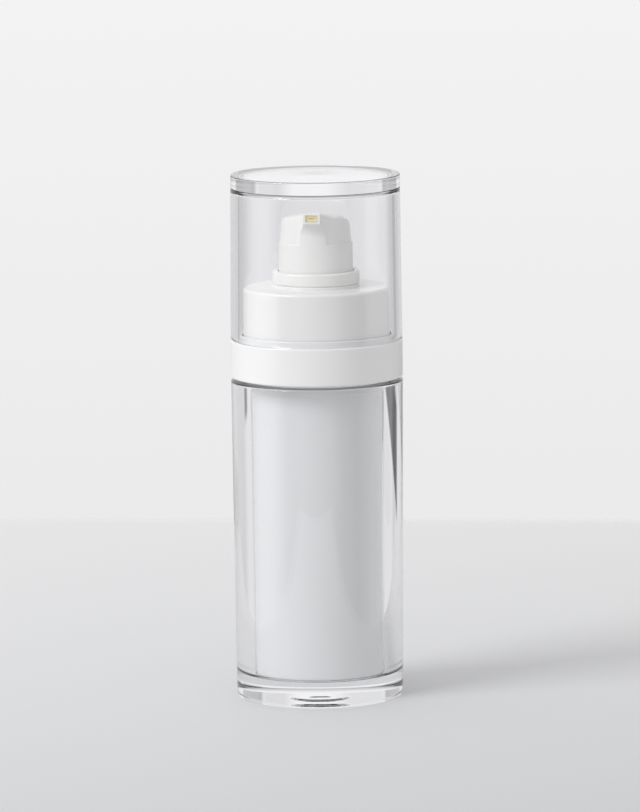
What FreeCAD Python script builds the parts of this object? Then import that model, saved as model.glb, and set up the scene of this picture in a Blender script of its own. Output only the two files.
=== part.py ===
import FreeCAD, Part
import math
import os

# Airless pump bottle, 30 ml class. Millimetres, +Z up, origin at the centre of the foot, nozzle towards -Y.
# Radii grow outwards from the product bore, heights grow upwards from the table.

# Inner bottle
product_bore = 25.8          # diameter the follower piston runs in
inner_wall = 1.4             # at the rim of the clear bottle
inner_draft = 0.35           # how much smaller the outside radius is at the floor
inner_floor = 1.5
inner_corner = 0.9
inner_height = 65.4          # from the floor of the clear bottle up to its rim
inner_vent = 2.4             # diameter of the air hole in the floor
land_height = 1.6            # close-fitting land under the flange
land_lead = 0.5              # lead-in below the land
land_fit = 0.03              # radial fit of the land in the clear bottle
notch_width = 2.0            # air notches across the land, the flange and the floor
notch_depth = 0.4
flange_overlap = 1.3         # how far the flange lies over the clear rim
flange_thickness = 1.6
neck_wall = 1.05
neck_height = 15.9           # above the flange

# Screw thread between neck and closure
thread_pitch = 3.0
thread_turns = 1.25
thread_start_angle = 40       # degrees from +X to the lower end of a ridge
thread_depth = 0.7
thread_root = 1.3            # width of a ridge at its foot
thread_crest = 0.7           # width of a ridge at its top
thread_play = 0.1            # axial play of the loaded flanks
thread_drop = 1.6            # from the end of the neck down to the highest ridge
thread_clearance = 0.2       # ridge top to the wall opposite
thread_sink = 0.25           # how far a ridge's foot is bedded in its wall

# Clear outer bottle
inner_gap = 0.45             # air between the two bottles
base_thickness = 5.2         # floor above the table
bottle_draft = 0.58          # how much smaller the outside radius is at the table
foot_round = 3.1             # curve from the wall down to the foot
foot_bend = 26               # degrees the curve has turned where the flat foot cuts it off
floor_corner = 0.8
rim_edge = 0.35
gate_well = 8.2              # diameter of the shallow well round the moulding gate, under the base
gate_well_depth = 0.3
gate_slope = 30              # degrees of the well's side and of the mark's side
gate_stub = 3.0              # diameter of the gate's mark in the middle of the well
gate_stub_height = 0.15

# Shoulder ring
shadow_gap = 0.7             # open joint between the clear rim and the ring
band_height = 8.3
shelf_thickness = 3.6
shelf_clearance = 0.2
lock_bead = 0.5              # radius of the neck bead that holds the ring down
spigot_wall = 0.55
spigot_height = 1.4
ring_edge = 0.3

# Closure
closure_wall = 1.35
closure_draft = 0.15
closure_gap = 0.25           # to the well of the shoulder ring
closure_lift = 0.3           # foot above the shelf
closure_top = 1.3
closure_edge = 0.7
seat_ring_height = 0.7       # low ring on the closure under the collar

# Pump seal and housing
gasket_thickness = 0.8
housing_flange = 1.1
housing_inset = 0.55         # flange edge to the closure's bore
well_wall = 1.2
well_reserve = 1.5           # under the pressed actuator
chamber_bore = 7.4
chamber_wall = 0.9
upstand_height = 1.8         # chamber mouth above the well floor
chamber_reserve = 0.7        # under the pressed valve rod
cage_bore = 4.6
cage_wall = 1.2
cage_depth = 3.1             # ball space above the seat
cage_lip = 0.5               # height of the lip that keeps the ball in
cage_lip_reach = 0.75        # how far the lip stands in
inlet_bore = 2.4
inlet_length = 2.5
ball_diameter = 3.5
ball_clearance = 0.03

# Pump stroke and moving column
stroke = 5.0
slip = 0.8                   # free play of the piston seal on the stem
stem_diameter = 5.3
stem_bore = 2.8
tail_diameter = 4.4
stem_fit = 0.1               # radial running fit in the guide
stop_flange = 6.4            # diameter that holds the stem down in the chamber
stop_thickness = 0.8
stop_clearance = 0.05
seal_height = 4.3
seal_fit = 0.05              # radial running fit of the seal in the bore and on the stem
seal_lip = 0.9
seal_relief = 0.5
rod_head = 6.2
rod_head_height = 1.1
rod_head_foot = 0.5          # how much narrower the head is at its foot
rod_head_land = 0.3
rod_shank = 2.0
port_diameter = 1.2
sleeve_wall = 0.95
sleeve_reserve = 0.5         # over the guide's boss when the pump is pressed
spring_flange_thickness = 0.8
spigot_diameter = 6.0        # top of the upper stem, in the actuator's socket
stem_spigot_length = 3.6

# Stem guide
guide_plate = 1.2
guide_wall = 1.0
guide_fit = 0.1
guide_plug_length = 2.6
guide_boss = 0.7             # low boss that centres the spring
guide_boss_clearance = 0.35  # to the inside of the coil

# Return spring
spring_margin = 0.7          # from the edge of the guide and the stem's flange to the middle of the wire
spring_wire = 0.7
spring_turns = 5
spring_length = 9.8          # as fitted
spring_seat = 0.05

# Collar
collar_height = 2.9
collar_wall = 1.2
collar_edge = 1.0
collar_notch = 0.3
collar_skirt_wall = 0.6
collar_skirt = 3.4           # below the collar's seat
collar_fit = 0.05

# Actuator
button_diameter = 16.4       # at its foot
button_draft = 0.1
button_gap = 0.2             # to the collar's bore
button_wall = 1.0
button_overlap = 1.9         # hidden in the collar at rest
button_show = 6.2            # plain wall above the collar
crown_ledge = 0.25           # ledge between plain wall and crown
crown_draft = 0.3
crown_back = 5.65            # height of the crown at the back
crown_tip = 7.4              # height of the crown at the nozzle
crown_edge = 4.2             # radius of its rounded top edge
crown_wall = 1.2
roof_wall = 1.5
nozzle_reach = 10.5          # nozzle face from the axis
nozzle_width = 3.6
nozzle_face = 2.35           # height of the nozzle face
nozzle_edge = 0.3
nozzle_lip = 0.05            # from the nozzle face back to the raked front
rake_rise = 2.0              # upright front above the ledge, below the cove under the nozzle
rake_margin = 3.0            # how far the front's profile runs on past the crown
mouth_width = 2.6
mouth_height = 1.5
mouth_depth = 1.6
mouth_drop = 0.45            # below the top of the nozzle face
channel_diameter = 1.3
channel_wall = 0.8
channel_run_in = 0.2         # how far the channel opens into the mouth
channel_throat = 0.8         # length of the funnel over the stem
pipe_set_back = 1.5          # from the end of the channel to the end of its wall
socket_wall = 1.1
socket_fit = 0.05
plug_fit = 0.04
plug_sink = 0.25
plug_slit = 0.1
plug_slit_margin = 0.6       # from the slit's end to the side of the mouth

# Follower piston
piston_height = 9.8
piston_fit = 0.05
piston_lip = 1.3
piston_relief = 0.6
piston_wall = 1.2
piston_well = 12.4           # diameter of the pocket that takes the pump's foot
piston_well_depth = 8.2
piston_rest = 0.05
lip_chamfer = 0.3            # lead-in of the piston's and the seal's lips

# Overcap
cap_clearance = 0.2
cap_wall = 1.75
cap_inset = 0.05             # to the side of the shoulder ring
cap_draft = 0.3
cap_top = 3.0
cap_headroom = 4.5           # above the nozzle
cap_edge = 0.5
cap_corner = 1.0

# Edges shared by the moulded pieces
fine_edge = 0.15
small_edge = 0.2
soft_edge = 0.3
rib_bed = 0.5                # how far a ring or rib is bedded in its wall

# Radii that follow
bore_r = product_bore / 2
inner_r = bore_r + inner_wall
clear_r = inner_r + inner_gap
neck_r = bore_r + neck_wall
crest_r = neck_r + thread_depth
closure_bore_r = crest_r + thread_clearance
closure_r = closure_bore_r + closure_wall
well_r = closure_r + closure_gap
spigot_r = well_r + spigot_wall
cap_bore_r = spigot_r + cap_clearance
cap_r = cap_bore_r + cap_wall
body_r = cap_r + cap_inset
flange_r = clear_r + flange_overlap
button_r = button_diameter / 2
button_inside_r = button_r - button_wall
collar_bore_r = button_r + button_gap
collar_skirt_r = collar_bore_r + collar_skirt_wall
collar_r = collar_bore_r + collar_wall
hole_r = collar_skirt_r + collar_fit
chamber_r = chamber_bore / 2
chamber_out_r = chamber_r + chamber_wall
stem_r = stem_diameter / 2
guide_hole_r = stem_r + stem_fit
sleeve_r = stem_r + sleeve_wall
guide_r = chamber_out_r + guide_fit + guide_wall
spring_flange_r = guide_r
spring_r = guide_r - spring_margin
guide_boss_r = spring_r - spring_wire / 2 - guide_boss_clearance
crown_r = button_r - button_draft - crown_ledge
crown_top_r = crown_r - crown_draft

# Heights that follow
floor_z = base_thickness
rim_z = floor_z + inner_height
flange_z = rim_z + flange_thickness
ring_z = rim_z + shadow_gap
shelf_z = flange_z + shelf_thickness
band_z = ring_z + band_height
neck_z = flange_z + neck_height
gasket_z = neck_z + gasket_thickness
plate_z = gasket_z + housing_flange
closure_z = plate_z + closure_top
seat_z = closure_z + seat_ring_height
collar_z = seat_z + collar_height
button_z = collar_z - button_overlap
step_z = collar_z + button_show
back_z = step_z + crown_back
tip_z = step_z + crown_tip
roof_z = tip_z + cap_headroom
top_z = roof_z + cap_top
well_floor_z = button_z - stroke - well_reserve
upstand_z = well_floor_z + upstand_height
guide_z = upstand_z + guide_plate
guide_plug_z = upstand_z - guide_plug_length
stop_z = guide_plug_z - stop_clearance
tail_z = stop_z - stop_thickness
seal_z = tail_z - slip - seal_height
rod_z = seal_z - stop_clearance
chamber_z = rod_z - rod_head_height - stroke - chamber_reserve
seat_top_z = chamber_z - cage_lip - cage_depth
seat_low_z = seat_top_z - (cage_bore - inlet_bore) / 2
housing_z = seat_low_z - inlet_length
spring_top_z = guide_z + spring_length
sleeve_z = spring_top_z + spring_flange_thickness
sleeve_low_z = guide_z + guide_boss + stroke + sleeve_reserve
spigot_top_z = sleeve_z + stem_spigot_length
thread_z = neck_z - thread_drop - thread_pitch * thread_turns


def point(r, z):
    return FreeCAD.Vector(r, 0, z)


def turned(*corners):
    """Solid turned about Z from corners (radius, height) or (radius, height, corner radius) in order."""
    count = len(corners)
    entries, exits, arcs = [], [], []
    for i, corner in enumerate(corners):
        here = point(corner[0], corner[1])
        before = point(*corners[i - 1][:2]) - here
        after = point(*corners[(i + 1) % count][:2]) - here
        if len(corner) < 3:
            entries.append(here)
            exits.append(here)
            arcs.append(None)
            continue
        half = before.getAngle(after) / 2
        setback = min(corner[2] / math.tan(half), 0.45 * before.Length, 0.45 * after.Length)
        radius = setback * math.tan(half)
        before.normalize()
        after.normalize()
        inward = before + after
        inward.normalize()
        entries.append(here + before * setback)
        exits.append(here + after * setback)
        arcs.append(here + inward * (radius / math.sin(half) - radius))
    edges = []
    for i in range(count):
        if arcs[i]:
            edges.append(Part.Arc(entries[i], arcs[i], exits[i]).toShape())
        following = entries[(i + 1) % count]
        if exits[i].distanceToPoint(following) > 1e-6:
            edges.append(Part.makeLine(exits[i], following))
    face = Part.Face(Part.Wire(edges))
    return face.revolve(FreeCAD.Vector(0, 0, 0), FreeCAD.Vector(0, 0, 1), 360)


def tube(inner, outer, low, high):
    return turned((inner, low), (outer, low), (outer, high), (inner, high))


def bead(r, z, radius):
    return Part.makeTorus(r, radius, point(0, z))


def thread_ridge(foot_r, crest_r, z):
    """One helical ridge of the screw thread, its foot bedded in the wall at foot_r, its middle starting at z."""
    bed_r = foot_r + math.copysign(thread_sink, foot_r - crest_r)
    foot, crest = thread_root / 2, thread_crest / 2
    bed = foot + (foot - crest) * thread_sink / abs(foot_r - crest_r)
    corners = [point(bed_r, z - bed), point(crest_r, z - crest), point(crest_r, z + crest), point(bed_r, z + bed)]
    helix = Part.makeHelix(thread_pitch, thread_pitch * thread_turns, foot_r)
    helix.translate(point(0, z))
    sweep = Part.BRepOffsetAPI.MakePipeShell(Part.Wire(helix.Edges))
    sweep.setFrenetMode(True)
    sweep.add(Part.makePolygon(corners + corners[:1]), False, False)
    sweep.build()
    sweep.makeSolid()
    ridge = sweep.shape()
    ridge.rotate(point(0, 0), FreeCAD.Vector(0, 0, 1), thread_start_angle)
    return ridge


def outer_bottle():
    base_r = body_r - bottle_draft
    below = foot_round * (1 - math.sin(math.radians(foot_bend)))
    bottle = turned(
        (0, -below), (base_r, -below, foot_round), (body_r, rim_z, rim_edge), (clear_r, rim_z),
        (clear_r - inner_draft, floor_z, floor_corner), (0, floor_z))
    under = Part.makeCylinder(body_r, below, point(0, -below))
    well_r, stub_r, stub_z = gate_well / 2, gate_stub / 2, gate_well_depth - gate_stub_height
    slope = math.tan(math.radians(gate_slope))
    well_out, stub_out = well_r + gate_well_depth / slope, stub_r + gate_stub_height / slope
    well = turned(
        (0, -below), (well_out, -below), (well_out, 0), (well_r, gate_well_depth, fine_edge),
        (stub_out, gate_well_depth, fine_edge), (stub_r, stub_z, fine_edge), (0, stub_z))
    return bottle.cut([under, well])


def air_notches():
    """Three channels at the back that let air in past the flange and the land, and along under the floor."""
    land_z = rim_z - land_height - land_lead
    cuts = []
    for angle in (30, 90, 150):
        over = Part.makeBox(flange_r, notch_width, rim_z + notch_depth - land_z,
                            FreeCAD.Vector(inner_r, -notch_width / 2, land_z))
        under = Part.makeBox(flange_r, notch_width, notch_depth, FreeCAD.Vector(0, -notch_width / 2, floor_z))
        for cut in (over, under):
            cut.rotate(point(0, 0), FreeCAD.Vector(0, 0, 1), angle)
            cuts.append(cut)
    return cuts


def inner_bottle():
    land_r, land_z = clear_r - land_fit, rim_z - land_height
    bottle = turned(
        (inner_vent / 2, floor_z), (inner_r - inner_draft, floor_z, inner_corner), (inner_r, land_z - land_lead),
        (land_r, land_z), (land_r, rim_z), (flange_r, rim_z), (flange_r, flange_z), (neck_r, flange_z),
        (neck_r, neck_z), (bore_r, neck_z), (bore_r, floor_z + inner_floor), (inner_vent / 2, floor_z + inner_floor))
    bore = Part.makeCylinder(bore_r, neck_z, point(0, floor_z + inner_floor))
    locks = bead(neck_r, shelf_z + lock_bead + stop_clearance, lock_bead)
    ridge = thread_ridge(neck_r, crest_r, thread_z)
    return bottle.cut(air_notches()).fuse([locks.cut(bore), ridge])


def shoulder_ring():
    shelf_r = neck_r + shelf_clearance
    recess_r = flange_r + shelf_clearance
    return turned(
        (recess_r, ring_z), (body_r, ring_z, ring_edge), (body_r, band_z, ring_edge), (spigot_r, band_z),
        (spigot_r, band_z + spigot_height, ring_edge), (well_r, band_z + spigot_height), (well_r, shelf_z),
        (shelf_r, shelf_z), (shelf_r, flange_z), (recess_r, flange_z))


def closure():
    low_z = shelf_z + closure_lift
    shell = turned(
        (closure_bore_r, low_z), (closure_r, low_z), (closure_r - closure_draft, closure_z, closure_edge),
        (collar_r, closure_z), (collar_r, seat_z, collar_notch / 2), (hole_r, seat_z), (hole_r, plate_z),
        (closure_bore_r, plate_z))
    below = (thread_root + thread_crest) / 2 + thread_play
    return shell.fuse(thread_ridge(closure_bore_r, neck_r + thread_clearance, thread_z - below))


def neck_gasket():
    return tube(bore_r, closure_bore_r - housing_inset, neck_z, gasket_z)


def pump_housing():
    flange = closure_bore_r - housing_inset
    foot_r = cage_bore / 2 + cage_wall
    lip_r = cage_bore / 2 - cage_lip_reach
    under_z = well_floor_z - well_wall
    return turned(
        (inlet_bore / 2, housing_z), (foot_r, housing_z, soft_edge), (foot_r, chamber_z - chamber_wall),
        (chamber_out_r, chamber_z - chamber_wall, soft_edge), (chamber_out_r, under_z),
        (hole_r + well_wall, under_z, soft_edge), (hole_r + well_wall, gasket_z), (flange, gasket_z),
        (flange, plate_z), (hole_r, plate_z), (hole_r, well_floor_z), (chamber_out_r, well_floor_z),
        (chamber_out_r, upstand_z), (chamber_r, upstand_z), (chamber_r, chamber_z), (lip_r, chamber_z),
        (lip_r, chamber_z - cage_lip), (cage_bore / 2, chamber_z - cage_lip), (cage_bore / 2, seat_top_z),
        (inlet_bore / 2, seat_low_z))


def inlet_ball():
    apex_z = seat_low_z - inlet_bore / 2
    centre_z = apex_z + (ball_diameter / 2 + ball_clearance) * math.sqrt(2)
    return Part.makeSphere(ball_diameter / 2, point(0, centre_z))


def stem_guide():
    over_r = chamber_out_r + guide_fit
    return turned(
        (over_r, well_floor_z), (guide_r, well_floor_z), (guide_r, guide_z, soft_edge), (guide_boss_r, guide_z),
        (guide_boss_r, guide_z + guide_boss, small_edge), (guide_hole_r, guide_z + guide_boss),
        (guide_hole_r, guide_plug_z), (chamber_r - guide_fit, guide_plug_z),
        (chamber_r - guide_fit, upstand_z), (over_r, upstand_z))


def lower_stem():
    bore, tail = stem_bore / 2, tail_diameter / 2
    stem = turned(
        (bore, rod_z), (tail, rod_z), (tail, tail_z), (stop_flange / 2, tail_z), (stop_flange / 2, stop_z),
        (stem_r, stop_z), (stem_r, spring_top_z, soft_edge), (bore, spring_top_z))
    port_z = rod_z + rod_shank + port_diameter
    for direction in (FreeCAD.Vector(1, 0, 0), FreeCAD.Vector(0, 1, 0)):
        start = point(0, port_z) - direction * stem_diameter
        stem = stem.cut(Part.makeCylinder(port_diameter / 2, 2 * stem_diameter, start, direction))
    return stem


def upper_stem():
    spigot = spigot_diameter / 2
    return turned(
        (stem_r, sleeve_low_z), (sleeve_r, sleeve_low_z, soft_edge), (sleeve_r, spring_top_z),
        (spring_flange_r, spring_top_z), (spring_flange_r, sleeve_z, small_edge), (spigot, sleeve_z),
        (spigot, spigot_top_z, soft_edge), (stem_bore / 2, spigot_top_z), (stem_bore / 2, spring_top_z),
        (stem_r, spring_top_z))


def valve_rod():
    head, shank = rod_head / 2, stem_bore / 2
    return turned(
        (0, rod_z - rod_head_height), (head - rod_head_foot, rod_z - rod_head_height), (head, rod_z - rod_head_land),
        (head, rod_z), (shank, rod_z), (shank, rod_z + rod_shank, soft_edge), (0, rod_z + rod_shank))


def piston_seal():
    inside, outside = tail_diameter / 2 + seal_fit, chamber_r - seal_fit
    high_z = seal_z + seal_height
    waist, gallery = outside - seal_relief, inside + seal_relief / 2
    return turned(
        (inside, seal_z), (outside - lip_chamfer, seal_z), (outside, seal_z + seal_lip), (waist, seal_z + 2 * seal_lip),
        (waist, high_z - 2 * seal_lip), (outside, high_z - seal_lip), (outside - lip_chamfer, high_z),
        (inside, high_z), (inside, high_z - seal_lip), (gallery, high_z - seal_lip),
        (gallery, seal_z + seal_lip), (inside, seal_z + seal_lip))


def biarc(start, start_way, end, end_way):
    """Two tangent arcs from start to end that leave along start_way and arrive along end_way."""
    span, ways = end - start, start_way + end_way
    bend = 2 * (1 - start_way.dot(end_way))
    along = span.dot(ways)
    reach = (math.sqrt(along * along + bend * span.dot(span)) - along) / bend
    first, second = start + start_way * reach, end - end_way * reach
    joint = (first + second) * 0.5
    arcs = []
    for a, control, b in ((start, first, joint), (joint, second, end)):
        turn = (control - a).getAngle(b - control)
        middle = (a + b) * 0.5
        arcs.append(Part.Arc(a, middle + (control - middle) * (math.tan(turn / 4) / math.tan(turn / 2)), b))
    return [arc.toShape() for arc in arcs]


def return_spring():
    r, wire = spring_r, spring_wire / 2
    low_z = guide_z + spring_seat + wire
    rise = (spring_length - 2 * (spring_seat + wire)) / spring_turns

    def on_coil(turns):
        angle = 2 * math.pi * turns
        return FreeCAD.Vector(r * math.cos(angle), r * math.sin(angle), low_z + rise * turns)

    def heading(turns):
        angle = 2 * math.pi * turns
        way = FreeCAD.Vector(-r * math.sin(angle), r * math.cos(angle), rise / (2 * math.pi))
        return way.normalize()

    marks = [quarter / 4 for quarter in range(4 * spring_turns + 1)]
    edges = []
    for a, b in zip(marks, marks[1:]):
        edges += biarc(on_coil(a), heading(a), on_coil(b), heading(b))
    path = Part.Wire(edges)
    section = Part.Wire(Part.makeCircle(wire, on_coil(0), heading(0)))
    fine = [on_coil(k / 60) for k in range(60 * spring_turns + 1)]
    gap = min(a.distanceToPoint(b) for i, a in enumerate(fine) for b in fine[i + 30:]) - spring_wire
    print("return_spring least gap to itself", round(gap, 3))
    return path.makePipeShell([section], True, False)


def crown_section(r, tip_half, reach, z_back, z_tip):
    """Plan of the crown in a plane that rises to the nozzle: round back, hollow flanks tangent to it, flat tip."""
    flank_r = (tip_half ** 2 + reach ** 2 - r ** 2) / (2 * (r - tip_half))
    turn = math.atan2(reach, tip_half + flank_r)

    def lifted(x, y):
        return FreeCAD.Vector(x, y, z_tip + (z_back - z_tip) * (y + reach) / (r + reach))

    def flank(side, share):
        angle = turn * share
        return lifted(side * (tip_half + flank_r * (1 - math.cos(angle))), flank_r * math.sin(angle) - reach)

    return Part.Wire([Part.Arc(flank(1, 1), lifted(0, r), flank(-1, 1)).toShape(),
                      Part.Arc(flank(-1, 1), flank(-1, 0.5), flank(-1, 0)).toShape(),
                      Part.makeLine(flank(-1, 0), flank(1, 0)),
                      Part.Arc(flank(1, 0), flank(1, 0.5), flank(1, 1)).toShape()])


def crown():
    """The solid upper part of the actuator: a round crown with a beak, a rounded top and a cove under the nozzle."""
    half = nozzle_width / 2
    sections = [crown_section(crown_r, half, nozzle_reach, step_z, step_z)]
    for angle in range(0, 91, 15):
        inset = 1 - math.cos(math.radians(angle))
        drop = 1 - math.sin(math.radians(angle))
        sections.append(crown_section(
            crown_top_r - crown_edge * inset, half - nozzle_edge * inset, nozzle_reach - nozzle_edge * inset,
            back_z - crown_edge * drop, tip_z - nozzle_edge * drop))
    body = Part.makeLoft(sections, True, True)
    foot_r, lip_r, lip_z = button_r - button_draft, nozzle_reach - nozzle_lip, tip_z - nozzle_face
    cove_z, out = step_z + rake_rise, lip_r - foot_r
    cove_r = (out ** 2 + (lip_z - cove_z) ** 2) / (2 * out)
    sweep = math.atan2(lip_z - cove_z, cove_r - out) / 2
    bow = point(foot_r + cove_r * (1 - math.cos(sweep)), cove_z + cove_r * math.sin(sweep))
    far, above = nozzle_reach + rake_margin, tip_z + rake_margin
    rim = [point(lip_r, lip_z), point(far, lip_z), point(far, above), point(0, above), point(0, step_z),
           point(foot_r, step_z), point(foot_r, cove_z)]
    edges = [Part.Arc(rim[-1], bow, rim[0]).toShape()] + [Part.makeLine(a, b) for a, b in zip(rim, rim[1:])]
    keep = Part.Face(Part.Wire(edges)).revolve(point(0, 0), FreeCAD.Vector(0, 0, 1), 360)
    return body.common(keep)


def mouth_centre():
    return FreeCAD.Vector(0, -nozzle_reach, tip_z - mouth_drop - mouth_height / 2)


def mouth_block(fit, sink, depth):
    """Block in the nozzle mouth, smaller all round by fit, from sink to depth behind the nozzle face."""
    width, height = mouth_width - 2 * fit, mouth_height - 2 * fit
    corner = mouth_centre() + FreeCAD.Vector(-width / 2, sink, -height / 2)
    return Part.makeBox(width, depth - sink, height, corner)


def actuator():
    socket_r = spigot_diameter / 2 + socket_fit
    ceiling_z = back_z - roof_wall
    skirt = turned(
        (button_inside_r, button_z), (button_r, button_z, small_edge),
        (button_r - button_draft, step_z, fine_edge), (0, step_z), (0, sleeve_z), (button_inside_r, sleeve_z))
    head = skirt.fuse(crown())
    hollow = turned((0, sleeve_z), (crown_top_r - crown_wall, sleeve_z),
                    (crown_top_r - crown_wall, ceiling_z, crown_edge / 2), (0, ceiling_z))
    target = mouth_centre() + FreeCAD.Vector(0, mouth_depth - channel_run_in, 0)
    source = point(0, spigot_top_z)
    way = target - source
    pipe = Part.makeCylinder(channel_diameter / 2 + channel_wall, way.Length - pipe_set_back, source, way)
    post = Part.makeCylinder(socket_r + socket_wall, ceiling_z - sleeve_z, point(0, sleeve_z))
    head = head.cut(hollow.cut(post.fuse(pipe)))
    socket = Part.makeCylinder(socket_r, spigot_top_z + stop_clearance - sleeve_z, point(0, sleeve_z))
    channel = Part.makeCylinder(channel_diameter / 2, way.Length, source, way)
    throat = Part.makeCone(stem_bore / 2, channel_diameter / 2, channel_throat, source)
    return head.cut([socket, channel, throat, mouth_block(0, -rake_margin, mouth_depth)])


def nozzle_plug():
    plug = mouth_block(plug_fit, plug_sink, mouth_depth)
    width = mouth_width - 2 * plug_slit_margin
    corner = mouth_centre() + FreeCAD.Vector(-width / 2, plug_sink - plug_slit, -plug_slit / 2)
    slit = Part.makeBox(width, mouth_depth, plug_slit, corner)
    return plug.cut(slit)


def actuator_collar():
    low_z = seat_z - collar_skirt
    return turned(
        (collar_bore_r, low_z), (collar_skirt_r, low_z), (collar_skirt_r, seat_z), (collar_r - collar_notch, seat_z),
        (collar_r, seat_z + collar_notch), (collar_r, collar_z, collar_edge), (collar_bore_r, collar_z, small_edge))


def follower_piston():
    low_z = floor_z + inner_floor + piston_rest
    high_z = low_z + piston_height
    lip_r = bore_r - piston_fit
    waist_r = lip_r - piston_relief
    core_r = waist_r - piston_wall
    well = piston_well / 2
    well_z = high_z - piston_well_depth
    shoulder_z = high_z - piston_wall
    return turned(
        (0, well_z), (well, well_z), (well, high_z), (lip_r - lip_chamfer, high_z), (lip_r, high_z - piston_lip),
        (waist_r, high_z - 2 * piston_lip), (waist_r, low_z + 2 * piston_lip), (lip_r, low_z + piston_lip),
        (lip_r - lip_chamfer, low_z), (core_r, low_z), (core_r, shoulder_z), (well + piston_wall, shoulder_z),
        (well + piston_wall, well_z - piston_wall), (0, well_z - piston_wall))


def overcap():
    return turned(
        (cap_bore_r, band_z, small_edge), (cap_r, band_z, soft_edge), (cap_r - cap_draft, top_z, cap_edge), (0, top_z),
        (0, roof_z), (cap_bore_r - cap_draft, roof_z, cap_corner))


pieces = (overcap, actuator, nozzle_plug, actuator_collar, closure, shoulder_ring, outer_bottle, inner_bottle,
          neck_gasket, pump_housing, inlet_ball, stem_guide, lower_stem, upper_stem, valve_rod, piston_seal,
          return_spring, follower_piston)

os.makedirs("parts", exist_ok=True)
for piece in pieces:
    shape = piece()
    solids = shape.Solids
    print(piece.__name__, len(solids), "solid", shape.isValid(), round(shape.Volume, 2))
    solids[0].exportStep("parts/" + piece.__name__ + ".step")

travel = housing_z - (floor_z + inner_floor + piston_rest + piston_height - piston_well_depth)
print("height", round(top_z, 2), "diameter", round(2 * body_r, 2))
print("follower travel", round(travel, 2), "ball lift", round(cage_depth, 2), "well floor", round(well_floor_z, 2))
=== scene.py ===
import math
import bmesh
import bpy
from mathutils import Matrix, Vector


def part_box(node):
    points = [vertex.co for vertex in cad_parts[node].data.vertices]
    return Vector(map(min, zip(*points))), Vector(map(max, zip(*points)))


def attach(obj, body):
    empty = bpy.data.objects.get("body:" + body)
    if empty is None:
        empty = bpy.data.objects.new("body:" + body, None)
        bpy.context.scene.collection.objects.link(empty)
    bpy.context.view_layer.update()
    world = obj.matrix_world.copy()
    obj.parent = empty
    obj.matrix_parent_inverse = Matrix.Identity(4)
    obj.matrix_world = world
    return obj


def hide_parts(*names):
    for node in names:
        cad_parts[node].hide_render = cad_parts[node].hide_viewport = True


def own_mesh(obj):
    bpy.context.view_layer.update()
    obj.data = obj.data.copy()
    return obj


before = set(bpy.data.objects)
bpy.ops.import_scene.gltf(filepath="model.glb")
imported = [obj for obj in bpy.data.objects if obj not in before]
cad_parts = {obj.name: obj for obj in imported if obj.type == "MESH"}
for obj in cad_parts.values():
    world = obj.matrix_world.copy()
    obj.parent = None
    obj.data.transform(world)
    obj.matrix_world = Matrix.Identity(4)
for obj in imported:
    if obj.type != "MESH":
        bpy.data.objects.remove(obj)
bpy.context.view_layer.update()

# Clear outer bottle.
# Injection-moulded acrylic with a thick polished wall and a heavy base. Its flat foot has a small well round the
# moulding gate; the white inner bottle is pressed into its rim.
MM = 0.001


class Socket:
    """A node's output that takes part in Python arithmetic."""

    def __init__(self, tree, out):
        self.tree, self.out = tree, out

    def node(self, kind, settings, inputs, output=0):
        made = self.tree.nodes.new(kind)
        for key, value in settings.items():
            setattr(made, key, value)
        for key, value in inputs.items():
            if isinstance(value, Socket):
                self.tree.links.new(value.out, made.inputs[key])
            else:
                made.inputs[key].default_value = value
        return Socket(self.tree, made.outputs[output])

    def maths(self, operation, first, second):
        return self.node("ShaderNodeMath", {"operation": operation}, {0: first, 1: second})

    def __add__(self, other):
        return self.maths("ADD", self, other)

    def __radd__(self, other):
        return self.maths("ADD", other, self)

    def __sub__(self, other):
        return self.maths("SUBTRACT", self, other)

    def __rsub__(self, other):
        return self.maths("SUBTRACT", other, self)

    def __mul__(self, other):
        return self.maths("MULTIPLY", self, other)

    def __rmul__(self, other):
        return self.maths("MULTIPLY", other, self)

    def into(self, shader, name):
        self.tree.links.new(self.out, shader.inputs[name])


def finish(name, constants):
    """A new material: its Principled shader with constants on its own sockets, and the object coordinates."""
    material = bpy.data.materials.new(name)
    material.use_nodes = True
    tree = material.node_tree
    shader = tree.nodes["Principled BSDF"]
    for key, value in constants.items():
        shader.inputs[key].default_value = value
    place = Socket(tree, tree.nodes.new("ShaderNodeTexCoord").outputs["Object"])
    return material, shader, place


def clear_plastic(name, tint):
    material, shader, place = finish(name, {"IOR": 1.49, "Transmission Weight": 1.0})
    cloud = place.node("ShaderNodeTexNoise", {}, {"Vector": place, "Scale": 55.0, "Detail": 1.0})
    scuff = place.node("ShaderNodeTexNoise", {}, {"Vector": place, "Scale": 900.0, "Detail": 3.0})
    (0.012 * scuff).into(shader, "Roughness")
    pale = tuple(0.985 * c for c in tint) + (1.0,)
    colour = place.node("ShaderNodeMix", {"data_type": "RGBA"}, {0: cloud, 6: tint + (1.0,), 7: pale}, 2)
    colour.into(shader, "Base Color")
    tree = material.node_tree
    path = tree.nodes.new("ShaderNodeLightPath")
    clear = place.node("ShaderNodeBsdfTransparent", {}, {"Color": tuple(math.sqrt(c) for c in tint) + (1.0,)})
    seen = Socket(tree, shader.outputs["BSDF"])
    for ray in ("Is Shadow Ray", "Is Diffuse Ray"):
        seen = place.node("ShaderNodeMixShader", {}, {0: Socket(tree, path.outputs[ray]), 1: seen, 2: clear})
    seen.into(tree.nodes["Material Output"], "Surface")
    return material


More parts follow.
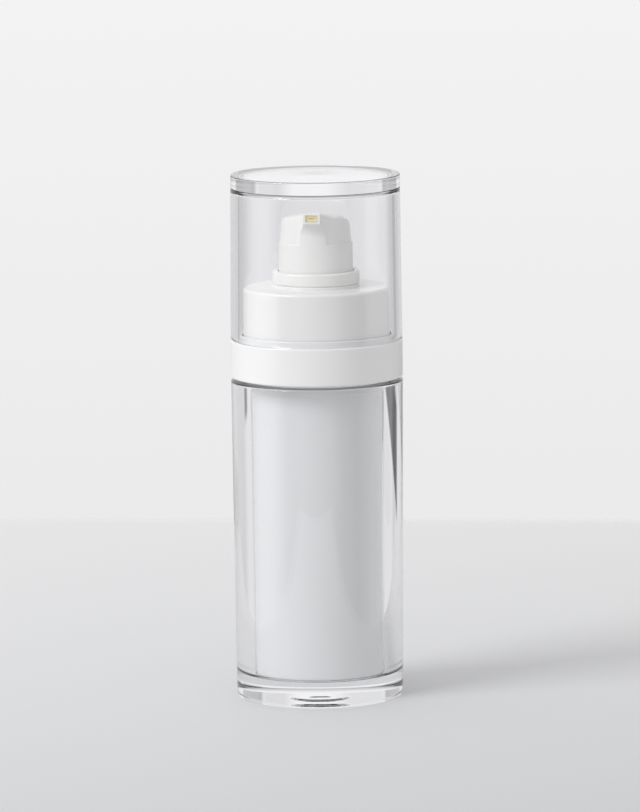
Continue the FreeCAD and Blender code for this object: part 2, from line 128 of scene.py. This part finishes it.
def rounded(corners, steps=6, guard=0.12):
    """Points of a profile from corners (radius, height) or (radius, height, corner radius), in millimetres.
    A straight run gets a guard point near each end, so that its shading stays flat."""
    closed = corners[0][0] > 0 or corners[-1][0] > 0
    runs = []
    for i, corner in enumerate(corners):
        here = Vector(corner[:2])
        before = Vector(corners[i - 1][:2]) - here
        after = Vector(corners[(i + 1) % len(corners)][:2]) - here
        if len(corner) < 3:
            runs.append([here])
            continue
        half = before.angle(after) / 2
        setback = min(corner[2] / math.tan(half), 0.45 * before.length, 0.45 * after.length)
        radius = setback * math.tan(half)
        before.normalize()
        after.normalize()
        centre = here + (before + after).normalized() * (radius / math.sin(half))
        start, end = here + before * setback - centre, here + after * setback - centre
        turn = start.angle_signed(end)
        runs.append([centre + Matrix.Rotation(-turn * k / steps, 2) @ start for k in range(steps + 1)])
    points = []
    for i, run in enumerate(runs):
        points += run
        if not closed and i == len(runs) - 1:
            break
        following = runs[(i + 1) % len(runs)][0]
        way = following - run[-1]
        if way.length > 4 * guard:
            points += [run[-1] + way.normalized() * guard, following - way.normalized() * guard]
    return points, closed


def sweep_tree():
    """Geometry Nodes: the profile that the object holds, turned once round a circle or wound along a helix."""
    tree = bpy.data.node_groups.new("Swept profile", "GeometryNodeTree")
    interface = tree.interface
    interface.new_socket("Geometry", in_out="OUTPUT", socket_type="NodeSocketGeometry")
    interface.new_socket("Profile", in_out="INPUT", socket_type="NodeSocketGeometry")
    for label, kind in (("Radius", "Float"), ("Turns", "Float"), ("Rise", "Float"), ("Steps", "Int"),
                        ("Wound", "Bool"), ("Material", "Material")):
        interface.new_socket(label, in_out="INPUT", socket_type="NodeSocket" + kind)
    made = {}

    def add(label, kind, **settings):
        made[label] = tree.nodes.new(kind)
        for key, value in settings.items():
            setattr(made[label], key, value)

    def link(source, output, target, entry):
        tree.links.new(made[source].outputs[output], made[target].inputs[entry])

    add("sizes", "NodeGroupInput")
    add("circle", "GeometryNodeCurvePrimitiveCircle")
    add("helix", "GeometryNodeCurveSpiral")
    add("path", "GeometryNodeSwitch", input_type="GEOMETRY")
    add("upright", "GeometryNodeSetCurveNormal", mode="Z_UP")
    add("sweep", "GeometryNodeCurveToMesh")
    add("weld", "GeometryNodeMergeByDistance")
    add("whole", "GeometryNodeRealizeInstances")
    add("paint", "GeometryNodeSetMaterial")
    add("result", "NodeGroupOutput")
    made["weld"].inputs["Distance"].default_value = 1e-7
    link("sizes", "Radius", "circle", "Radius")
    link("sizes", "Steps", "circle", "Resolution")
    link("sizes", "Radius", "helix", "Start Radius")
    link("sizes", "Radius", "helix", "End Radius")
    link("sizes", "Turns", "helix", "Rotations")
    link("sizes", "Rise", "helix", "Height")
    link("sizes", "Steps", "helix", "Resolution")
    link("sizes", "Wound", "path", "Switch")
    link("circle", "Curve", "path", "False")
    link("helix", "Curve", "path", "True")
    link("path", "Output", "upright", "Curve")
    link("upright", "Curve", "sweep", "Curve")
    link("sizes", "Profile", "sweep", "Profile Curve")
    link("sizes", "Wound", "sweep", "Fill Caps")
    link("sweep", "Mesh", "weld", "Geometry")
    link("weld", "Geometry", "whole", "Geometry")
    link("whole", "Geometry", "paint", "Geometry")
    link("sizes", "Material", "paint", "Material")
    link("paint", "Geometry", "result", "Geometry")
    return tree


SWEEP = sweep_tree()


def swept_mesh(name, points, closed, material, radius, turns=1.0, rise=0.0, steps=192, wound=False):
    """Runs the sweep on a profile of (radius, height) points in millimetres and returns the plain mesh."""
    curve = bpy.data.curves.new(name, "CURVE")
    curve.dimensions = "2D"
    spline = curve.splines.new("POLY")
    spline.points.add(len(points) - 1)
    for target, (r, z) in zip(spline.points, points):
        target.co = ((r - radius) * MM, -z * MM, 0.0, 1.0)
    spline.use_cyclic_u = closed
    holder = bpy.data.objects.new(name, curve)
    bpy.context.scene.collection.objects.link(holder)
    modifier = holder.modifiers.new("Sweep", "NODES")
    modifier.node_group = SWEEP
    values = {"Radius": radius * MM, "Turns": turns, "Rise": rise * MM, "Steps": steps, "Wound": wound,
              "Material": material}
    for item in SWEEP.interface.items_tree:
        if item.in_out == "INPUT" and item.name in values:
            modifier[item.identifier] = values[item.name]
    graph = bpy.context.evaluated_depsgraph_get()
    mesh = bpy.data.meshes.new_from_object(holder.evaluated_get(graph), depsgraph=graph)
    bpy.data.objects.remove(holder)
    bpy.data.curves.remove(curve)
    return mesh


def piece(name, meshes, material, body, slot, *nodes, sharp=40):
    """One finished object from one or more meshes, smooth but for its sharp edges, that replaces CAD nodes."""
    joined = bmesh.new()
    for mesh in meshes:
        joined.from_mesh(mesh)
        bpy.data.meshes.remove(mesh)
    bmesh.ops.remove_doubles(joined, verts=joined.verts, dist=1e-7)
    bmesh.ops.recalc_face_normals(joined, faces=joined.faces)
    for face in joined.faces:
        face.smooth = True
        face.material_index = 0
    made = bpy.data.meshes.new(name)
    joined.to_mesh(made)
    joined.free()
    made.set_sharp_from_angle(angle=math.radians(sharp))
    made.materials.clear()
    made.materials.append(material)
    thing = bpy.data.objects.new(name, made)
    bpy.context.scene.collection.objects.link(thing)
    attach(thing, body)
    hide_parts(*nodes)
    return thing


def turned(name, corners, material, steps=192):
    points, closed = rounded(corners)
    return swept_mesh(name, points, closed, material, max(c[0] for c in corners) / 2, steps=steps)


bottle_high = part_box("outer_bottle")[1]
body_r, rim_z = bottle_high.x / MM, bottle_high.z / MM
base_r, clear_r, floor_r, floor_z = body_r - 0.58, 14.75, 14.4, 5.2
stand, foot_round, foot_bend = 0.02, 3.1, 26
foot_turn = [math.radians(angle) for angle in range(foot_bend, -1, -2)]
foot_curve = [(base_r - foot_round * (1 - math.cos(turn)),
               stand + foot_round * (math.sin(foot_turn[0]) - math.sin(turn))) for turn in foot_turn]
well_r, well_z, well_side, mark_r, mark_z, mark_side, well_round = 4.1, 0.3, 0.52, 1.5, 0.15, 0.26, 0.15
gate_well = [(0.0, mark_z), (mark_r, mark_z, well_round), (mark_r + mark_side, well_z, well_round),
             (well_r, well_z, well_round), (well_r + well_side, stand)]
clear_acrylic = clear_plastic("clear_acrylic", (0.925, 0.927, 0.938))
piece("clear_bottle", [turned("clear_bottle", [
    *gate_well, *foot_curve, (body_r, rim_z, 0.35), (clear_r, rim_z), (floor_r, floor_z, 0.8),
    (0.0, floor_z)], clear_acrylic, 256)],
    clear_acrylic, "bottle", "clear_plastic", "outer_bottle")

# White inner bottle.
# A smooth injection-moulded polypropylene container with a thin wall and a screw neck. It stands on the clear
# floor, its flange lies on the clear rim, and a close land under the flange is pressed into the clear wall.


def white_plastic(name, shade, gloss):
    material, shader, place = finish(name, {"IOR": 1.5, "Specular IOR Level": 0.5})
    flow = place.node("ShaderNodeTexNoise", {}, {"Vector": place, "Scale": 70.0, "Detail": 2.0})
    grain = place.node("ShaderNodeTexNoise", {}, {"Vector": place, "Scale": 2600.0, "Detail": 2.0})
    (gloss + 0.05 * flow + 0.03 * grain).into(shader, "Roughness")
    deep = tuple(0.975 * c for c in shade) + (1.0,)
    colour = place.node("ShaderNodeMix", {"data_type": "RGBA"}, {0: flow, 6: shade + (1.0,), 7: deep}, 2)
    colour.into(shader, "Base Color")
    bump = place.node("ShaderNodeBump", {}, {"Height": grain, "Strength": 0.05, "Distance": 0.00002})
    bump.into(shader, "Normal")
    return material


thread_turns, thread_pitch, thread_start, thread_foot, thread_crest = 1.25, 3.0, math.radians(40), 0.65, 0.35


def thread(name, foot, crest, z, material):
    """A helical ridge of the screw thread between its foot and crest radii, its middle starting at height z."""
    sunk = foot + math.copysign(0.25, foot - crest)
    points = [(sunk, -thread_foot), (foot, -thread_foot), (crest, -thread_crest), (crest, thread_crest),
              (foot, thread_foot), (sunk, thread_foot)]
    mesh = swept_mesh(name, points, True, material, foot, turns=thread_turns, rise=thread_turns * thread_pitch,
                      steps=120, wound=True)
    mesh.transform(Matrix.Translation((0.0, 0.0, z * MM)) @ Matrix.Rotation(thread_start, 4, "Z"))
    return mesh


inner_white = white_plastic("inner_white", (0.85, 0.85, 0.85), 0.22)
inner_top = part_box("inner_bottle")[1]
neck_z, flange_r = inner_top.z / MM, inner_top.x / MM
inner_r, foot_r, bore_r, neck_r, vent_r, lift = 14.29, 13.95, 12.9, 13.95, 1.2, 0.03
land_r, bead_r, crest_r = clear_r - 0.05, neck_r + 0.5, neck_r + 0.7
inside_z, land_z, flange_z, bead_z, thread_z = floor_z + 1.5, rim_z - 1.6, rim_z + 1.6, rim_z + 5.25, neck_z - 5.35
piece("white_bottle", [turned("white_bottle", [
    (vent_r, floor_z + lift), (foot_r, floor_z + lift, 0.9), (inner_r, land_z - 0.5),
    (land_r, land_z), (land_r, rim_z + lift), (flange_r, rim_z + lift, 0.15),
    (flange_r, flange_z, 0.15), (neck_r, flange_z), (neck_r, bead_z), (bead_r, bead_z + 0.3, 0.2),
    (bead_r, bead_z + 0.65, 0.2), (neck_r, bead_z + 1.0), (neck_r, neck_z, 0.2), (bore_r, neck_z, 0.2),
    (bore_r, inside_z, 0.3), (vent_r, inside_z)], inner_white),
    thread("neck_thread", neck_r, crest_r, thread_z, inner_white)],
    inner_white, "bottle", "white_plastic", "inner_bottle")

# Shoulder ring.
# The glossy white band that trims the joint between bottle and cap. It snaps over the neck, clamps the inner
# bottle's flange and has a low spigot on top that centres the clear cap.
ring_low, ring_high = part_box("shoulder_ring")
ring_z, spigot_z = ring_low.z / MM, ring_high.z / MM
band_z = spigot_z - 1.4
spigot_r, ring_bore, grip_r, clamp_r = 17.0, 16.45, neck_r + 0.2, flange_r + 0.2
grip_z, clamp_z = band_z - 3.8, flange_z + 0.02
gloss_white = white_plastic("gloss_white", (0.82, 0.82, 0.825), 0.16)
piece("white_band", [turned("white_band", [
    (clamp_r, ring_z), (body_r, ring_z, 0.3), (body_r, band_z, 0.3), (spigot_r, band_z, 0.1),
    (spigot_r, spigot_z, 0.3), (ring_bore, spigot_z, 0.15), (ring_bore, grip_z), (grip_r, grip_z),
    (grip_r, clamp_z), (clamp_r, clamp_z)], gloss_white)],
    gloss_white, "bottle", "white_plastic", "shoulder_ring")

# Screw closure.
# A plain white drum that holds the pump on the neck, with a rounded shoulder and a low seat ring for the collar.
closure_low, closure_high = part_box("closure")
seat_z = closure_high.z / MM
skirt_low, closure_z, closure_r, closure_top_r, closure_bore = closure_low.z / MM, seat_z - 0.7, 16.2, 16.05, 14.85
seat_r, seat_bore, roof_z = 9.6, 9.05, closure_z - 1.3
soft_white = white_plastic("soft_white", (0.87, 0.87, 0.852), 0.20)
piece("closure_drum", [turned("closure_drum", [
    (closure_bore, skirt_low, 0.2), (closure_r, skirt_low, 0.3), (closure_top_r, closure_z, 0.7),
    (seat_r, closure_z, 0.1), (seat_r, seat_z, 0.15), (seat_bore, seat_z), (seat_bore, roof_z),
    (closure_bore, roof_z, 0.2)], soft_white),
    thread("closure_thread", closure_bore, neck_r + 0.2, thread_z - 1.1, soft_white)],
    soft_white, "pump", "white_plastic", "closure")

# Actuator collar.
# A white guide ring pressed through the closure into the pump; its rounded rim guides the push button.
shank_z, collar_z = (corner.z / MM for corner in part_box("actuator_collar"))
collar_bore, shank_r, collar_r, collar_edge = 8.4, 9.0, 9.6, 0.3
piece("guide_collar", [turned("guide_collar", [
    (collar_bore, shank_z, 0.1), (shank_r, shank_z, 0.1), (shank_r, seat_z), (collar_r - collar_edge, seat_z),
    (collar_r, seat_z + collar_edge, 0.1), (collar_r, collar_z, 1.0), (collar_bore, collar_z, 0.2)], soft_white)],
    soft_white, "pump", "white_plastic", "actuator_collar")

# Actuator.
# The white push button: a plain skirt that slides in the collar, and a round crown with a short beak, a domed top
# that rises to the small rectangular nozzle, and a cove under it.
head_low, head_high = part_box("actuator")
skirt_z, tip_z, reach = head_low.z / MM, head_high.z / MM, -head_low.y / MM
step_z, nozzle_half, nozzle_face, nozzle_round = tip_z - 7.4, 1.8, 2.35, 0.3
back_z, crown_r, crown_top_r, crown_round = step_z + 5.65, 7.85, 7.55, 4.2
lip_r, lip_z, front_r, cove_z = reach - 0.05, tip_z - nozzle_face, 8.1, step_z + 2.0
cove_r = ((lip_r - front_r) ** 2 + (lip_z - cove_z) ** 2) / (2 * (lip_r - front_r))


def front(z):
    """Radius of the front under the nozzle at height z: upright above the skirt, then a cove out to the lip."""
    if z <= cove_z:
        return front_r
    return front_r + cove_r - math.sqrt(cove_r ** 2 - (z - cove_z) ** 2) if z < lip_z else 99.0


def crown_loop(r, half, far, z_back, z_tip, back_count=96, flank_count=20, tip_count=14):
    """One closed loop of the crown: round back, two hollow flanks, and the tip, or the front where that cuts it."""
    flank_r = (half ** 2 + far ** 2 - r ** 2) / (2 * (r - half))
    bend = math.atan2(far, half + flank_r)
    touch = math.pi / 2 - bend

    def height(y):
        return z_tip + (z_back - z_tip) * (y + far) / (r + far)

    def flank(share):
        """A place on the right flank, from the round back at 0 to the corner of the tip at 1."""
        angle = bend * (1 - share)
        return Vector((half + flank_r * (1 - math.cos(angle)), flank_r * math.sin(angle) - far))

    def cut(way):
        """Share of the way at which it comes out of the front, or 1 where it stays inside."""
        low, high = 0.0, 1.0
        if way(high).length > front(height(way(high).y)):
            for _ in range(40):
                middle = (low + high) / 2
                low, high = (middle, high) if way(middle).length < front(height(way(middle).y)) else (low, middle)
        return high

    share = cut(flank)
    end = flank(share).x
    loop = []
    for k in range(back_count):
        angle = touch + (2 * math.pi - 2 * touch) * k / back_count
        loop.append(Vector((r * math.sin(angle), -r * math.cos(angle))))
    right_flank = [flank(share * k / flank_count) for k in range(flank_count + 1)]
    loop += [Vector((-spot.x, spot.y)) for spot in right_flank[:-1]]
    for k in range(tip_count):
        x = -end + 2 * end * k / tip_count
        line = Vector((x, -0.5 * front_r)).lerp
        tip = Vector((x, -far))
        loop.append(line(tip, cut(lambda t: line(tip, t)) if share < 1.0 else 1.0))
    loop += right_flank[:0:-1]
    return [Vector((spot.x, spot.y, height(spot.y))) * MM for spot in loop]


def crown_mesh():
    low = (crown_r, nozzle_half, reach, step_z, step_z)
    top = (crown_top_r, nozzle_half, reach, back_z - crown_round, tip_z - nozzle_round)
    lip = (lip_z - step_z) / (top[4] - step_z)
    stages = [0.0, 0.02] + [lip * math.sin(math.pi * k / 44) for k in range(1, 22)]
    stages += [lip - 0.0005, lip + 0.0005, lip + 0.03]
    stages += [lip + (0.97 - lip) * k / 4 for k in range(1, 5)] + [1.0]
    sunk_z = step_z - 0.3
    loops = [crown_loop(crown_r, nozzle_half, reach, sunk_z, sunk_z)]
    loops += [crown_loop(*(a + (b - a) * t for a, b in zip(low, top))) for t in stages]
    for k in range(1, 11):
        inset, drop = 1 - math.cos(math.pi * k / 20), 1 - math.sin(math.pi * k / 20)
        loops.append(crown_loop(crown_top_r - crown_round * inset, nozzle_half - nozzle_round * inset,
                                reach - nozzle_round * inset, back_z - crown_round * drop,
                                tip_z - nozzle_round * drop))
    middle = sum(loops[-1], Vector()) / len(loops[-1])
    loops += [[spot.lerp(middle, t) for spot in loops[-1]] for t in (0.04, 0.35, 0.7)]
    mesh = bmesh.new()
    rows = [[mesh.verts.new(spot) for spot in loop] for loop in loops]
    for lower, upper in zip(rows, rows[1:]):
        for k in range(len(lower)):
            n = (k + 1) % len(lower)
            mesh.faces.new((lower[k], lower[n], upper[n], upper[k]))
    for row, apex in ((rows[0][::-1], mesh.verts.new((0.0, 0.0, sunk_z * MM))),
                      (rows[-1], mesh.verts.new(middle))):
        for k in range(len(row)):
            mesh.faces.new((row[k], row[(k + 1) % len(row)], apex))
    bmesh.ops.recalc_face_normals(mesh, faces=mesh.faces)
    made = bpy.data.meshes.new("crown")
    mesh.to_mesh(made)
    mesh.free()
    return made


def block(name, low, high, bevel, width_axis=1):
    """A box with rounded edges along one axis, in millimetres."""
    mesh = bmesh.new()
    bmesh.ops.create_cube(mesh, size=1.0)
    low, high = Vector(low), Vector(high)
    for vert in mesh.verts:
        vert.co = Vector(((vert.co[i] + 0.5) * (high[i] - low[i]) + low[i]) * MM for i in range(3))
    along = [edge for edge in mesh.edges
             if abs((edge.verts[0].co - edge.verts[1].co).normalized()[width_axis]) > 0.9]
    bmesh.ops.bevel(mesh, geom=along, offset=bevel * MM, segments=4, profile=0.5, affect="EDGES")
    made = bpy.data.meshes.new(name)
    mesh.to_mesh(made)
    mesh.free()
    return made


def carved(mesh, cutter):
    """The mesh with the cutter's volume taken out."""
    body = bpy.data.objects.new("carving", mesh)
    tool = bpy.data.objects.new("cutter", cutter)
    for thing in (body, tool):
        bpy.context.scene.collection.objects.link(thing)
    modifier = body.modifiers.new("Cut", "BOOLEAN")
    modifier.operation, modifier.solver, modifier.object = "DIFFERENCE", "EXACT", tool
    graph = bpy.context.evaluated_depsgraph_get()
    result = bpy.data.meshes.new_from_object(body.evaluated_get(graph), depsgraph=graph)
    for thing in (body, tool):
        data = thing.data
        bpy.data.objects.remove(thing)
        bpy.data.meshes.remove(data)
    return result


mouth_top = tip_z - 0.45
mouth_low, mouth_high = (-1.3, -reach - 1.0, mouth_top - 1.5), (1.3, -reach + 1.6, mouth_top)
button_white = white_plastic("button_white", (0.875, 0.875, 0.852), 0.26)
skirt_bore, skirt_r, boss_r, socket_r = 7.2, 8.2, 4.15, 3.05
boss_z, socket_z, hollow_z = step_z + 3.0, step_z + 2.65, step_z - 0.95
button_skirt = turned("button_skirt", [
    (skirt_bore, skirt_z, 0.1), (skirt_r, skirt_z, 0.2), (front_r, step_z, 0.15), (boss_r, step_z), (boss_r, boss_z),
    (0.0, boss_z), (0.0, socket_z), (socket_r, socket_z), (socket_r, hollow_z), (skirt_bore, hollow_z)], button_white)
piece("push_button", [button_skirt, carved(crown_mesh(), block("mouth", mouth_low, mouth_high, 0.18))],
      button_white, "head", "white_plastic", "actuator", sharp=62)

# Nozzle plug.
# A soft pale yellow insert in the nozzle's mouth with a fine slit that opens when the pump is pressed.
plug_yellow, plug_shader, plug_place = finish("plug_yellow", {"IOR": 1.45})
plug_cloud = plug_place.node("ShaderNodeTexNoise", {}, {"Vector": plug_place, "Scale": 900.0, "Detail": 2.0})
(0.42 + 0.1 * plug_cloud).into(plug_shader, "Roughness")
plug_place.node("ShaderNodeMix", {"data_type": "RGBA"}, {
    0: plug_cloud, 6: (0.88, 0.80, 0.46, 1.0), 7: (0.84, 0.75, 0.41, 1.0)}, 2).into(plug_shader, "Base Color")
plug = block("outlet_plug", (-1.26, -reach + 0.25, mouth_top - 1.46), (1.26, -reach + 1.6, mouth_top - 0.04), 0.16)
slit = block("slit", (-0.7, -reach - 0.5, mouth_top - 0.8), (0.7, -reach + 1.2, mouth_top - 0.7), 0.04)
piece("outlet_plug", [carved(plug, slit)], plug_yellow, "head", "pale_yellow_elastomer", "nozzle_plug")

# Clear overcap.
# A thick-walled clear drum with a heavy flat top, polished, that slips over the pump and sits on the white band.
cap_low, cap_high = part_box("overcap")
cap_r, cap_z, top_z = cap_high.x / MM, cap_low.z / MM, cap_high.z / MM
cap_acrylic = clear_plastic("cap_acrylic", (0.953, 0.953, 0.962))
cap_rim_z, cap_roof_z, cap_mouth_r, cap_roof_r = cap_z + 0.02, top_z - 3.0, 17.2, 16.9
piece("clear_cap", [turned("clear_cap", [
    (0.0, top_z), (cap_r - 0.3, top_z, 0.25), (cap_r, cap_rim_z, 0.3), (cap_mouth_r, cap_rim_z, 0.25),
    (cap_roof_r, cap_roof_z, 1.0), (0.0, cap_roof_z)], cap_acrylic, 256)],
    cap_acrylic, "cap", "clear_plastic", "overcap")

# Return spring.
# A stainless steel coil round the stem, between the stem guide and the stem's flange; it shortens with each stroke.
steel, steel_shader, steel_place = finish("drawn_steel", {"Metallic": 1.0, "Base Color": (0.62, 0.62, 0.63, 1.0)})
draw_lines = steel_place.node("ShaderNodeTexNoise", {}, {"Vector": steel_place, "Scale": 1800.0, "Detail": 2.0})
(0.2 + 0.15 * draw_lines).into(steel_shader, "Roughness")
spring_low, spring_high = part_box("return_spring")
wire, coil_turns = 0.35, 5.0
coil_r = spring_high.x / MM - wire
coil_rise = (spring_high.z - spring_low.z) / MM - 2 * wire
wire_section = [(coil_r + wire * math.cos(a), wire * math.sin(a)) for a in (k * math.pi / 8 for k in range(16))]
coil = swept_mesh("coil_spring", wire_section, True, steel, coil_r, turns=coil_turns, rise=coil_rise, steps=240,
                  wound=True)
coil.transform(Matrix.Translation((0.0, 0.0, spring_low.z + wire * MM)))
return_spring = piece("coil_spring", [coil], steel, "pump", "stainless_steel", "return_spring")
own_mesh(return_spring)

# Pump engine, follower piston and gasket.
# Plain moulded parts in natural polypropylene and polyethylene, and a polished steel ball; all are hidden inside.
natural = white_plastic("natural_plastic", (0.78, 0.78, 0.76), 0.4)
for node in ("neck_gasket", "pump_housing", "stem_guide", "lower_stem", "upper_stem", "valve_rod", "piston_seal",
             "follower_piston"):
    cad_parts[node].data.materials.clear()
    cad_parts[node].data.materials.append(natural)
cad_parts["inlet_ball"].data.materials.clear()
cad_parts["inlet_ball"].data.materials.append(steel)

# Table and backdrop.
# A pale matt table, with painted shade in a band just in front of the bottle, that ends softly behind the bottle, in
# front of a plain backdrop that is paler towards the top.
# The polished faces show only its middle, as beside a set's flags.
table_back, table_front, table_side, table_far, table_fade = 0.243, -0.255, 0.10, 3.0, 0.010
# Depth of the painted shade band: the table's colour is darkest here and pales towards its back and far front.
painted_shade_y = -0.13
table_material, table_shader, table_place = finish("pale_table", {"Roughness": 0.75})
table_y = table_place.node("ShaderNodeSeparateXYZ", {}, {0: table_place}, 1)
away = table_place.maths("ABSOLUTE", table_y - painted_shade_y, 0.0)
painted_shade = table_place.node("ShaderNodeMapRange", {}, {
    0: away, 1: table_back - painted_shade_y, 2: 0.0, 3: 0.0, 4: 1.0})
# The darker colour is painted shade, mixed in by nearness to that band.
table_place.node("ShaderNodeMix", {"data_type": "RGBA"}, {
    0: painted_shade, 6: (0.85, 0.85, 0.86, 1.0), 7: (0.605, 0.61, 0.62, 1.0)}, 2).into(table_shader, "Base Color")
table_place.node("ShaderNodeMapRange", {}, {
    0: table_y, 1: table_back, 2: table_back - table_fade, 3: 0.0, 4: 1.0}).into(table_shader, "Alpha")


def table_top(name, *fields):
    """Flat rectangles (left, right, front, back) at the height of the foot."""
    corners = [(x, y, 0.0) for left, right, front, rear in fields
               for x, y in ((left, front), (right, front), (right, rear), (left, rear))]
    mesh = bpy.data.meshes.new(name)
    mesh.from_pydata(corners, [], [tuple(range(4 * k, 4 * k + 4)) for k in range(len(fields))])
    mesh.materials.append(table_material)
    top = bpy.data.objects.new(name, mesh)
    bpy.context.scene.collection.objects.link(top)
    return top


table_top("table", (-table_side, table_side, table_front, table_back))
wings = table_top("table_wings", (-table_far, -table_side, -table_far, table_back),
                  (table_side, table_far, -table_far, table_back), (-table_side, table_side, -table_far, table_front))
wings.visible_glossy = wings.visible_transmission = False

# Studio light.
# An even white room with a pale backdrop, one soft light from the upper left, and flags beside and before the bottle
# that only its polished faces show: dark ones behind it at both sides and in front, pale ones at its left and right.
ambient, left_share = 0.775, 0.12
facing = math.radians(4.6)
world = bpy.data.worlds.new("studio")
bpy.context.scene.world = world
world.use_nodes = True
world.node_tree.nodes.clear()
direction = Socket(world.node_tree, world.node_tree.nodes.new("ShaderNodeTexCoord").outputs["Generated"])
aside, back, upwards = (direction.node("ShaderNodeSeparateXYZ", {}, {0: direction}, k) for k in range(3))


def ramp(value, low, high, start=0.0, end=1.0):
    return value.node("ShaderNodeMapRange", {}, {0: value, 1: low, 2: high, 3: start, 4: end})


def between(value, low, high, soft):
    """1 where the value lies between low and high, 0 elsewhere, with soft edges."""
    return ramp(value - low, -soft, soft) * ramp(value - high, -soft, soft, 1.0, 0.0)


bearing = direction.maths("ARCTAN2", aside * math.cos(facing) + back * math.sin(facing),
                          back * math.cos(facing) - aside * math.sin(facing)) * math.degrees(1)
height = direction.maths("ABSOLUTE", upwards, 0.0)
level = between(height, 0.078, 0.22, 0.008)
low_down = ramp(upwards, -0.140, -0.134, 1.0, 0.0)
right_flag = (between(bearing, 33.0 - 16.0 * low_down, 60.0, 1.5) * (0.45 + 0.35 * low_down)
              * ramp(upwards - ramp(bearing, 17.0, 54.0, -0.157, -0.141), -0.001, 0.001))
left_flag = between(bearing, 18.0 * low_down - 66.0, -40.0, 1.5) * (0.45 + 0.2 * low_down) * ramp(
    upwards, -0.1455, -0.1435)
left_haze = 0.18 * between(bearing, -40.0, -10.0, 5.0)
right_haze = 0.22 * between(bearing, 14.0, 33.0, 4.0)
dark_front = 1 - between(bearing, -125.0, 107.0, 5.0)
beside_lens = dark_front * ramp(direction.maths("ABSOLUTE", bearing, 0.0), 145.0, 155.0, 1.0, 0.35)
left_glow = between(bearing, -110.0, -80.0, 15.0)
ceiling = ramp(upwards, 0.25, 0.5, 1.0, 0.45)
paleness = ramp(upwards, -0.165, -0.085, 0.83, 0.90) + ramp(upwards, -0.085, 0.06, 0.0, 0.10)
flagged = (1 - level * (right_flag + right_haze + left_flag + left_haze)) * ceiling * paleness
room = direction.node("ShaderNodeBackground", {}, {0: (1.0, 1.0, 1.0, 1.0), 1: ambient * (1 - left_share * aside)})
backdrop, mirrored, refracted = (direction.node("ShaderNodeBackground", {}, {0: (0.99, 0.99, 1.0, 1.0), 1: strength})
                                 for strength in (
    paleness, flagged * (1 - 0.85 * dark_front) * (1 + 0.35 * left_glow),
    flagged * (1 - 0.8 * (level * beside_lens)) * (1 + 0.35 * (level * left_glow))))
rays = world.node_tree.nodes.new("ShaderNodeLightPath")
shown = room
for ray, seen in (("Is Camera Ray", backdrop), ("Is Glossy Ray", mirrored), ("Is Transmission Ray", refracted)):
    shown = direction.node("ShaderNodeMixShader", {}, {
        0: Socket(world.node_tree, rays.outputs[ray]), 1: shown, 2: seen})
shown.into(world.node_tree.nodes.new("ShaderNodeOutputWorld"), "Surface")
softbox_place, softbox_aim = Vector((-0.50, -0.385, 0.545)), Vector((0.0, 0.0, 0.05))
softbox_side, softbox_power = 0.32, 2.85
light = bpy.data.lights.new("key", "AREA")
light.shape, light.size, light.energy = "SQUARE", softbox_side, softbox_power
lamp = bpy.data.objects.new("key", light)
lamp.location = softbox_place
lamp.rotation_euler = (softbox_aim - softbox_place).to_track_quat("-Z", "Y").to_euler()
bpy.context.scene.collection.objects.link(lamp)

# Camera.
# A long lens a little above the middle of the bottle, turned so that the nozzle points just left of it.
picture_px, focal_px, sensor_mm = 640, 6500.0, 36.0
distance, tilt, roll = 1.4352, math.radians(8.237), math.radians(0.579)
aim_height, aim_aside = 0.06445, 0.000583
right = Vector((math.cos(facing), math.sin(facing), 0.0))
view_axis = Vector((-math.sin(facing) * math.cos(tilt), math.cos(facing) * math.cos(tilt), -math.sin(tilt)))
target = Vector((0.0, 0.0, aim_height)) + right * aim_aside
lens = bpy.data.cameras.new("camera")
lens.sensor_fit, lens.sensor_width, lens.lens = "HORIZONTAL", sensor_mm, focal_px * sensor_mm / picture_px
camera = bpy.data.objects.new("camera", lens)
upward = right.cross(view_axis)
turned_right = right * math.cos(roll) - upward * math.sin(roll)
turned_up = upward * math.cos(roll) + right * math.sin(roll)
camera.matrix_world = Matrix.Translation(target - view_axis * distance) @ Matrix(
    (turned_right, turned_up, -view_axis)).transposed().to_4x4()
lens.clip_start, lens.clip_end = 0.05, 20.0
bpy.context.scene.collection.objects.link(camera)
bpy.context.scene.camera = camera
bpy.context.scene.view_settings.view_transform = "Standard"
